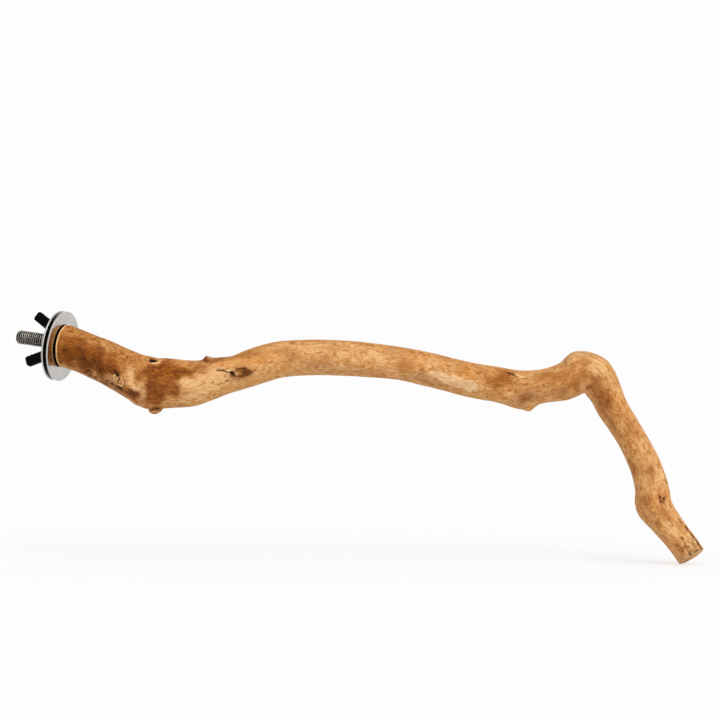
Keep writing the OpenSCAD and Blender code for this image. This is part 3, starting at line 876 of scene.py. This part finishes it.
def sawn_wood():
    """A saw cut across the grain: year rings, rough spots and dark cracks, from polar places."""
    s = Shader("sawn_wood")
    place = s.attribute("polar").outputs["Vector"]
    radius = s.add("ShaderNodeSeparateXYZ", Vector=place).outputs[0]
    wobble = s.noise(s.scaled(place, (0.4, 2.0, 2.0)), 1.0, 3, 0.5)
    ring = s.range(s.math("SINE", s.sum((radius, 5.2), (wobble, 3.0))), -1.0, 1.0)
    rough = s.noise(s.scaled(place, (1.5, 6.0, 6.0)), 1.0, 4, 0.6)
    colour = s.ramp(ring, (0.2, 254, 212, 156), (0.9, 230, 170, 108))
    colour = s.mix(s.range(rough, 0.42, 0.64, 0.0, 0.6), colour, linear(168, 98, 44))
    dark_marks_and_shade = s.attribute("dark_marks_and_shade").outputs["Fac"]
    return s.surface(
        Base_Color=s.mix(s.math("MULTIPLY", dark_marks_and_shade, 0.95), colour, linear(48, 24, 12)),
        Roughness=0.8,
        Specular_IOR_Level=0.25,
        Normal=s.bump(rough, 0.6, 0.0004),
    )


def washer_steel():
    """Stainless steel with fine turned lines and faint handling marks."""
    s = Shader("washer_steel")
    place = s.object_place()
    radius = s.axis_distance(place, WASHER_Z * MM)
    rings_at = s.add("ShaderNodeCombineXYZ", X=s.math("MULTIPLY", radius, 9000.0)).outputs[0]
    lines = s.noise(rings_at, 1.0, 3, 0.7)
    marks = s.noise(place, 160.0, 4, 0.6)
    bright = linear(196, 193, 190)
    dull = tuple(0.86 * c for c in bright[:3]) + (1,)
    return s.surface(
        Base_Color=s.mix(s.range(marks, 0.35, 0.7), bright, dull),
        Metallic=1.0,
        Roughness=s.range(marks, 0.3, 0.7, 0.15, 0.23),
        Normal=s.bump(lines, 0.10, 0.00002),
    )


def threaded_steel():
    """Rolled threads, darker with depth as painted shade: dark roots and bright crests."""
    s = Shader("stud_steel")
    place = s.object_place()
    height = s.range(s.axis_distance(place), (STUD_R - 0.7) * MM, STUD_R * MM)
    marks = s.noise(place, 420.0, 4, 0.6)
    # Painted shade: the colour darkens from the crests down into the roots, broken up a little by noise.
    thread_shade = s.math("ADD", height, s.range(marks, 0.35, 0.65, -0.2, 0.2))
    return s.surface(
        Base_Color=s.ramp(
            thread_shade,
            (0.05, 24, 21, 18),
            (0.50, 66, 60, 54),
            (0.80, 140, 132, 124),
            (1.00, 214, 208, 200),
        ),
        Metallic=1.0,
        Roughness=s.range(height, 0.0, 1.0, 0.5, 0.22),
        Normal=s.bump(marks, 0.2, 0.00004),
    )


def black_nylon():
    """Moulded black plastic with a fine spark-eroded texture and uneven shine."""
    s = Shader("black_nylon")
    place = s.object_place()
    pebble = s.noise(place, 2600.0, 3, 0.6)
    cloud = s.noise(place, 240.0, 3, 0.5)
    return s.surface(
        Base_Color=s.mix(cloud, linear(1, 1, 2), linear(6, 6, 7)),
        Roughness=s.range(cloud, 0.3, 0.7, 0.42, 0.58),
        Specular_IOR_Level=0.04,
        Normal=s.bump(pebble, 0.35, 0.00006),
    )


WOOD = wood()
SAWN = sawn_wood()
STEEL_FACE = washer_steel()
STEEL_THREAD = threaded_steel()
NYLON = black_nylon()


# Branch

PILOT_R = 3.52
SCREW_POINT = 6.0


def bore_rings(bark):
    """The pilot hole's rings, from its tip out to the seat."""
    turn = np.radians(bark.angles)
    around = np.stack([0 * turn, -np.sin(turn), np.cos(turn)], axis=-1)
    steps = [(SCREW_END + 0.1, 0.05), (SCREW_END - SCREW_POINT, PILOT_R), (WASHER_T, PILOT_R)]
    return np.array([np.array([x, 0, 0]) + r * around for x, r in steps])


# The saw cut's cracks: angle at the rim and at the inner end, inner end as a share, half width
CUT_CRACKS = [
    (50, 56, 0.45, 1.10),
    (96, 90, 0.10, 0.45),
    (131, 150, 0.50, 0.25),
    (224, 215, 0.20, 0.40),
    (306, 300, 0.35, 0.30),
]
CUT_STEPS = 22
CUT_EDGE = 0.35
CUT_CRACK_DEPTH = 0.7

# The saw's marks: depth in millimetres, turn in radians, radians of wave in a millimetre
SAW_DEPTH = 0.05
SAW_TURN = 0.6
SAW_WAVES = 5.0

# A distance from a crack at which nothing of it shows
FAR = 9.0


def cut_rings(bark, rim, outward):
    """Rings that close the tip, from inside the rim to the middle, with cracks and saw marks."""
    middle = rim.mean(axis=0)
    reach = np.linalg.norm(rim - middle, axis=1)
    turn = np.radians(bark.angles)
    rounds, polar, dark_marks_and_shade = [], [], []
    for share in np.linspace(0.96, 0.01, CUT_STEPS):
        gap = np.full(len(rim), FAR)
        for at_rim, at_end, end_share, half_width in CUT_CRACKS:
            angle = at_rim + (at_end - at_rim) * (1 - share) / (1 - end_share)
            off = np.abs(np.radians(turned(bark.angles - angle))) * reach * share / half_width
            gap = np.minimum(gap, off if share > end_share else FAR)
        saw = SAW_DEPTH * np.sin(share * reach * np.cos(turn - SAW_TURN) * SAW_WAVES)
        lift = CUT_EDGE * (1 - share**14) + saw - CUT_CRACK_DEPTH * bell(gap)
        rounds.append(middle + (rim - middle) * share + outward * lift[:, None])
        polar.append(np.stack([reach * share, np.cos(turn), np.sin(turn)], axis=1))
        dark_marks_and_shade.append(np.clip(bell(gap * 0.8) + 0.7 * bell((1 - share) / 0.07), 0, 1))
    return np.array(rounds), np.array(polar), np.array(dark_marks_and_shade)


# How far the fibres turn round the branch, in radians per millimetre
GRAIN_TWIST = 0.004


def grain_places(bark):
    """Where each point lies on the straightened branch, so that the fibres run along it."""
    turn = np.radians(bark.angles)[None] + GRAIN_TWIST * bark.along[:, None]
    along = np.broadcast_to(bark.along[:, None], turn.shape)
    radius = bark.radius[:, None]
    return np.stack([along, radius * np.cos(turn), radius * np.sin(turn)], axis=-1)


def make_branch():
    """One closed skin: pilot hole, seat, bark and saw cut."""
    bark = Bark()
    draw_bark(bark)
    skin_rings = bark.points + bark.out * bark.height[..., None]
    outward = unit(skin_rings[-1].mean(axis=0) - skin_rings[-8].mean(axis=0))
    skin_rings[-1] -= outward * CUT_EDGE
    bore = bore_rings(bark)
    cut, cut_polar, cut_ink = cut_rings(bark, skin_rings[-1], outward)
    every_ring = np.concatenate([bore, skin_rings, cut])
    ring_total, sides = every_ring.shape[:2]
    faces = capped_faces(ring_total, sides)
    skin = mesh_object("branch_skin", every_ring.reshape(-1, 3), faces, WOOD)
    skin.data.materials.append(SAWN)
    rim = len(bore) + len(skin_rings) - 1
    kinds = np.zeros(len(skin.data.polygons), dtype=np.int32)
    kinds[rim * sides:] = 1
    kinds[:(len(bore) - 1) * sides] = 1
    skin.data.polygons.foreach_set("material_index", kinds)

    def whole(of_bark, of_cut=0.0):
        """Values for every ring: zero in the bore, then those of the bark and of the cut."""
        shape = of_bark.shape[1:]
        of_bore = np.zeros((len(bore),) + shape)
        return np.concatenate([of_bore, of_bark, np.broadcast_to(of_cut, (len(cut),) + shape)])

    grain = grain_places(bark)
    add_attribute(skin.data, "grain", whole(grain, grain[-1]))
    polar = whole(0 * grain, cut_polar)
    polar[rim] = cut_polar[0]
    add_attribute(skin.data, "polar", polar)
    for name, mask in bark.masks.items():
        add_attribute(skin.data, name, whole(mask, cut_ink if name == "dark_marks_and_shade" else 0.0))
    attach(skin, "perch")
    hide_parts("branch")


make_branch()


# Turned and threaded pieces, all round the X axis


def round_x(rings_of, sides):
    """Vertices of rings, each given as a place on the X axis and a radius at every side."""
    turn = np.arange(sides) * 2 * math.pi / sides
    rows = []
    for x, radius in rings_of:
        reach = np.broadcast_to(radius, turn.shape)
        rows.append(np.stack([np.full(sides, x), reach * np.cos(turn), reach * np.sin(turn)], axis=1))
    return np.concatenate(rows)


def rounded_box_profile(x0, x1, r0, r1, edge, steps=5):
    """Closed outline of a flat ring's section, with every corner an arc."""
    corners = [(x0, r0, 180), (x1, r0, 270), (x1, r1, 0), (x0, r1, 90)]
    outline = []
    for x, r, start in corners:
        centre_x = x + (edge if x == x0 else -edge)
        centre_r = r + (edge if r == r0 else -edge)
        for k in range(steps + 1):
            a = math.radians(start + 90 * k / steps)
            outline.append((centre_x + edge * math.cos(a), centre_r + edge * math.sin(a)))
    return outline


WASHER_SIDES = 256
WASHER_EDGE = 0.22
HOLE_PLAY = 0.2
HOLE_R = STUD_R - WASHER_Z + HOLE_PLAY


def make_washer(name, node, body, x0):
    """A flat washer with rounded edges, which hangs low on the stud."""
    outline = rounded_box_profile(x0, x0 + WASHER_T, HOLE_R, WASHER_R, WASHER_EDGE)
    vertices = round_x(outline, WASHER_SIDES) + (0, 0, WASHER_Z)
    faces = [[a, d, c, b] for a, b, c, d in tube_faces(len(outline), WASHER_SIDES, closed=True)]
    piece = mesh_object(name, vertices, faces, STEEL_FACE)
    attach(piece, body)
    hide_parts(node)


make_washer("inner_washer_disc", "inner_washer", "perch", 0.0)
make_washer("outer_washer_disc", "outer_washer", "clamp_washer", FOOT_X)


THREAD_SIDES = 96
THREAD_PITCH = 1.25
THREAD_DEPTH = 0.72
THREAD_STEP = THREAD_PITCH / 12
SCREW_R = 3.5
SCREW_PITCH = 3.2
SCREW_DEPTH = 0.9
SCREW_STEP = SCREW_PITCH / 14
CHAMFER = 1.0
CREST_SHARE = 1 / 16
ROOT_SHARE = 3 / 8


def thread_radius(x, turn, major, depth, pitch):
    """Radius on a right-hand thread: a flat crest, straight flanks and a flat root."""
    phase = (x / pitch - turn / (2 * math.pi)) % 1 - 0.5
    slope = (np.abs(phase) - CREST_SHARE) / (ROOT_SHARE - CREST_SHARE)
    return major - depth * np.clip(slope, 0, 1)


def make_bolt():
    """A stud with a dished end and a machine thread outside, and a pointed wood screw inside."""
    turn = np.arange(THREAD_SIDES) * 2 * math.pi / THREAD_SIDES
    chamfer_r = STUD_R - CHAMFER
    dish = [(0.12, 0.02), (0.10, chamfer_r * 0.72), (0, chamfer_r * 0.86)]
    rows = [(STUD_END + x, radius) for x, radius in dish]
    for x in np.arange(STUD_END, WASHER_T, THREAD_STEP):
        radius = thread_radius(x, turn, STUD_R, THREAD_DEPTH, THREAD_PITCH)
        rows.append((x, np.minimum(radius, chamfer_r + (x - STUD_END))))
    for x in np.arange(WASHER_T + 0.1, SCREW_END, SCREW_STEP):
        left = SCREW_END - x
        radius = thread_radius(x, turn, SCREW_R, SCREW_DEPTH, SCREW_PITCH)
        rows.append((x, np.minimum(radius, SCREW_R * left / SCREW_POINT)))
    rows.append((SCREW_END, 0.01))
    faces = capped_faces(len(rows), THREAD_SIDES)
    piece = mesh_object("threaded_stud", round_x(rows, THREAD_SIDES), faces, STEEL_THREAD)
    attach(piece, "perch")
    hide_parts("hanger_bolt")


make_bolt()


# Wing nut, as one moulded surface

FOOT_R = 8.0
TOP_R = 7.0
HUB_H = 6.5
WING_SPAN = 33.0
WING_W = 5.8
WING_T = 3.2
WING_SPLAY = math.radians(28)
WING_TURN = math.radians(10)
WING_CORNER = 1.5
WING_EDGE = 0.45
HUB_EDGE = 0.6
BORE_R = STUD_R + 0.05
BORE_CHAMFER = 0.5
BLEND = 1.6
NET_STEP = 0.25
NET_MARGIN = 0.6


def both(a, b, edge):
    """Distance to where two shapes meet, with a rounded edge."""
    a, b = a + edge, b + edge
    return np.hypot(np.maximum(a, 0), np.maximum(b, 0)) + np.minimum(np.maximum(a, b), 0) - edge


def merged(a, b):
    """Distance to two shapes joined by a fillet."""
    h = np.clip(0.5 + 0.5 * (b - a) / BLEND, 0, 1)
    return b * (1 - h) + a * h - BLEND * h * (1 - h)


def nut_distance(x, y, z):
    """Distance to the nut: x along its wings, y through them, z up from its foot."""
    r = np.hypot(x, y)
    wall = r - (FOOT_R + (TOP_R - FOOT_R) * np.clip(z / HUB_H, 0, 1))
    hub = both(wall, np.abs(z - HUB_H / 2) - HUB_H / 2, HUB_EDGE)
    tip_r = WING_SPAN / 2 - WING_W / 2 * math.cos(WING_SPLAY)
    tip_h = WING_RISE - WING_W / 2 * math.sin(WING_SPLAY)
    length = (tip_r - (BORE_R + FOOT_R) / 2) / math.sin(WING_SPLAY)
    side = np.abs(x) - tip_r
    up = z - tip_h
    along = side * math.sin(WING_SPLAY) + up * math.cos(WING_SPLAY) + length / 2
    across = side * math.cos(WING_SPLAY) - up * math.sin(WING_SPLAY)
    outline = both(np.abs(along) - length / 2, np.abs(across) - WING_W / 2, WING_CORNER)
    wing = both(outline, np.abs(y) - WING_T / 2, WING_EDGE)
    body = np.maximum(merged(hub, wing), -z)
    chamfer = np.maximum(0, BORE_CHAMFER - np.minimum(np.abs(z), np.abs(HUB_H - z)))
    return np.maximum(body, BORE_R + chamfer - r)


def net_points(values, step):
    """Every crossed cell's number, and the mean of the places where its edges are crossed."""
    cells = tuple(n - 1 for n in values.shape)
    corner_at = [(i, j, k) for i in (0, 1) for j in (0, 1) for k in (0, 1)]

    def corner(place):
        i, j, k = place
        return values[i:i + cells[0], j:j + cells[1], k:k + cells[2]]

    total = np.zeros(cells + (3,))
    hits = np.zeros(cells)
    for place in corner_at:
        for axis in range(3):
            if place[axis] == 1:
                continue
            other = tuple(v + (n == axis) for n, v in enumerate(place))
            a, b = corner(place), corner(other)
            cut = (a < 0) != (b < 0)
            share = np.where(cut, a / np.where(cut, a - b, 1), 0)
            for n in range(3):
                total[..., n] += cut * (place[n] + share * (n == axis))
            hits += cut
    crossed = hits > 0
    index = np.full(cells, -1)
    index[crossed] = np.arange(crossed.sum())
    return index, (np.argwhere(crossed) + total[crossed] / hits[crossed][:, None]) * step


def net_faces(inside, index):
    """A quad round every grid edge that the surface crosses, looking outwards."""
    cells = np.array(index.shape)
    faces = []
    for axis in range(3):
        sides = [n for n in range(3) if n != axis]
        places = np.argwhere(inside != np.roll(inside, -1, axis))
        keep = (places[:, sides] > 0).all(axis=1) & (places < cells).all(axis=1)
        places = places[keep]
        quad = []
        for back in ((0, 0), (-1, 0), (-1, -1), (0, -1)):
            at = places.copy()
            at[:, sides] += back
            quad.append(index[tuple(at.T)])
        quad = np.stack(quad, axis=1)
        outward = inside[tuple(places.T)]
        flip = outward if axis != 1 else ~outward
        quad[flip] = quad[flip][:, ::-1]
        faces.extend(quad.tolist())
    return faces


def surface_net(distance, low, high, step):
    """Vertices and quads on the zero surface of a distance, one vertex in each crossed cell."""
    axes = [np.arange(a, b + step, step) for a, b in zip(low, high)]
    values = distance(*np.meshgrid(*axes, indexing="ij"))
    index, offsets = net_points(values, step)
    points = np.array(low) + offsets
    nudge = 0.02
    for _ in range(3):
        d = distance(*points.T)
        rises = [distance(*(points + n).T) - distance(*(points - n).T) for n in nudge * np.eye(3)]
        slope = np.stack(rises, axis=1) / (2 * nudge)
        steep = np.maximum((slope**2).sum(axis=1), 0.25)
        points = points - slope * np.clip(d / steep, -step / 2, step / 2)[:, None]
    return points, net_faces(values < 0, index)


def make_wing_nut():
    """The nut, with its foot on the outer washer and its wings turned a little."""
    reach = WING_SPAN / 2 + NET_MARGIN
    depth = FOOT_R + NET_MARGIN
    low = (-reach, -depth, -NET_MARGIN)
    high = (reach, depth, WING_RISE + NET_MARGIN)
    points, faces = surface_net(nut_distance, low, high, NET_STEP)
    c, s = math.cos(WING_TURN), math.sin(WING_TURN)
    x, y, z = points.T
    placed = np.stack([FOOT_X - z, x * s + y * c, x * c - y * s], axis=1)
    piece = mesh_object("wing_nut_moulding", placed, faces, NYLON)
    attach(piece, "nut")
    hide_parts("wing_nut")


make_wing_nut()


# Camera, floor and lights

LENS = 100.0
SENSOR = 36.0
FRAME_PIXELS = 720
PIXEL_SIZE = 0.572
ORIGIN_PIXEL = (62.4, 343.2)


def make_camera():
    """Looks across the sheet of the branch, with the clamp at its place in the picture."""
    focal = LENS / SENSOR * FRAME_PIXELS
    right = (FRAME_PIXELS / 2 - ORIGIN_PIXEL[0]) * PIXEL_SIZE
    up = (ORIGIN_PIXEL[1] - FRAME_PIXELS / 2) * PIXEL_SIZE
    place = RUN * right + HEIGHT * up + VIEWER * focal * PIXEL_SIZE
    data = bpy.data.cameras.new("camera")
    data.lens = LENS
    data.sensor_width = SENSOR
    data.clip_start = 0.01
    data.clip_end = 60
    camera = bpy.data.objects.new("camera", data)
    axes = Matrix((Vector(RUN), Vector(HEIGHT), Vector(VIEWER))).transposed()
    camera.matrix_world = Matrix.Translation(Vector(place * MM)) @ axes.to_4x4()
    bpy.context.scene.collection.objects.link(camera)
    bpy.context.scene.camera = camera


make_camera()


SHOWN_WHITE = 0.982
FLOOR_SIZE = 14.0
FLOOR_SHADE = 0.34
FLOOR_BOUNCE = 0.8
SKY_LIGHT = 0.62
# The suns: name, way to each in the sheet (run, height, viewer), strength, width in degrees
SUNS = [
    ("key", (0.30, 0.80, 0.50), 0.9, 45),
    ("front", (0.25, 0.40, 0.88), 0.9, 70),
]


def grey(value):
    """A colour with no hue."""
    return (value, value, value, 1)


def seen_rays(n):
    """1 for camera, glossy and transmission rays, which see the background as white."""
    path = n.add("ShaderNodeLightPath").outputs
    seen = n.math("MAXIMUM", path["Is Camera Ray"], path["Is Glossy Ray"])
    return n.math("MAXIMUM", seen, path["Is Transmission Ray"])


def open_floor_light():
    """Light on the open floor, where 1 would show a white surface as white."""
    return SKY_LIGHT + sum(strength * unit(way)[1] / math.pi for _, way, strength, _ in SUNS)


def floor_material():
    """White and softly shaded for the rays that see it, plain for the others, clear from below."""
    material = bpy.data.materials.new("floor")
    n = Nodes(material)
    n.tree.nodes.clear()
    glow = SHOWN_WHITE - FLOOR_SHADE * open_floor_light()
    shine = n.add("ShaderNodeEmission", Color=grey(1), Strength=glow).outputs[0]
    shade = n.add("ShaderNodeBsdfDiffuse", Color=grey(FLOOR_SHADE)).outputs[0]
    shown = n.add("ShaderNodeAddShader", i0=shine, i1=shade).outputs[0]
    plain = n.add("ShaderNodeBsdfDiffuse", Color=grey(FLOOR_BOUNCE)).outputs[0]
    above = n.mix_shader(seen_rays(n), plain, shown)
    clear = n.add("ShaderNodeBsdfTransparent").outputs[0]
    below = n.add("ShaderNodeNewGeometry").outputs["Backfacing"]
    n.add("ShaderNodeOutputMaterial", Surface=n.mix_shader(below, above, clear))
    return material


def make_floor():
    """A floor square to the picture's height, under the branch's lowest point."""
    low = min(Vector(HEIGHT).dot(v.co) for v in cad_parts["branch"].data.vertices)
    mesh = bpy.data.meshes.new("floor")
    half = FLOOR_SIZE / 2
    corners = [(x * RUN + y * VIEWER) * half for x, y in ((-1, 1), (1, 1), (1, -1), (-1, -1))]
    mesh.from_pydata([Vector(c + low * HEIGHT) for c in corners], [], [(0, 1, 2, 3)])
    mesh.materials.append(floor_material())
    floor = bpy.data.objects.new("floor", mesh)
    bpy.context.scene.collection.objects.link(floor)


make_floor()


def make_world():
    """Even soft light from all round, behind which the background shows white."""
    world = bpy.data.worlds.new("studio")
    bpy.context.scene.world = world
    n = Nodes(world)
    n.tree.nodes.clear()
    light = n.add("ShaderNodeBackground", Color=grey(1), Strength=SKY_LIGHT).outputs[0]
    white = n.add("ShaderNodeBackground", Color=grey(1), Strength=SHOWN_WHITE).outputs[0]
    n.add("ShaderNodeOutputWorld", Surface=n.mix_shader(seen_rays(n), light, white))


make_world()


def make_sun(name, way, strength, angle):
    """A soft sun that shines from a direction in the sheet: run, height, viewer."""
    data = bpy.data.lights.new(name, "SUN")
    data.energy = strength
    data.angle = math.radians(angle)
    sun = bpy.data.objects.new(name, data)
    sun.rotation_mode = "QUATERNION"
    towards = Vector(np.array(way) @ SHEET).normalized()
    sun.rotation_quaternion = towards.to_track_quat("Z", "Y")
    bpy.context.scene.collection.objects.link(sun)


for sun_values in SUNS:
    make_sun(*sun_values)

bpy.context.scene.view_settings.view_transform = "Standard"
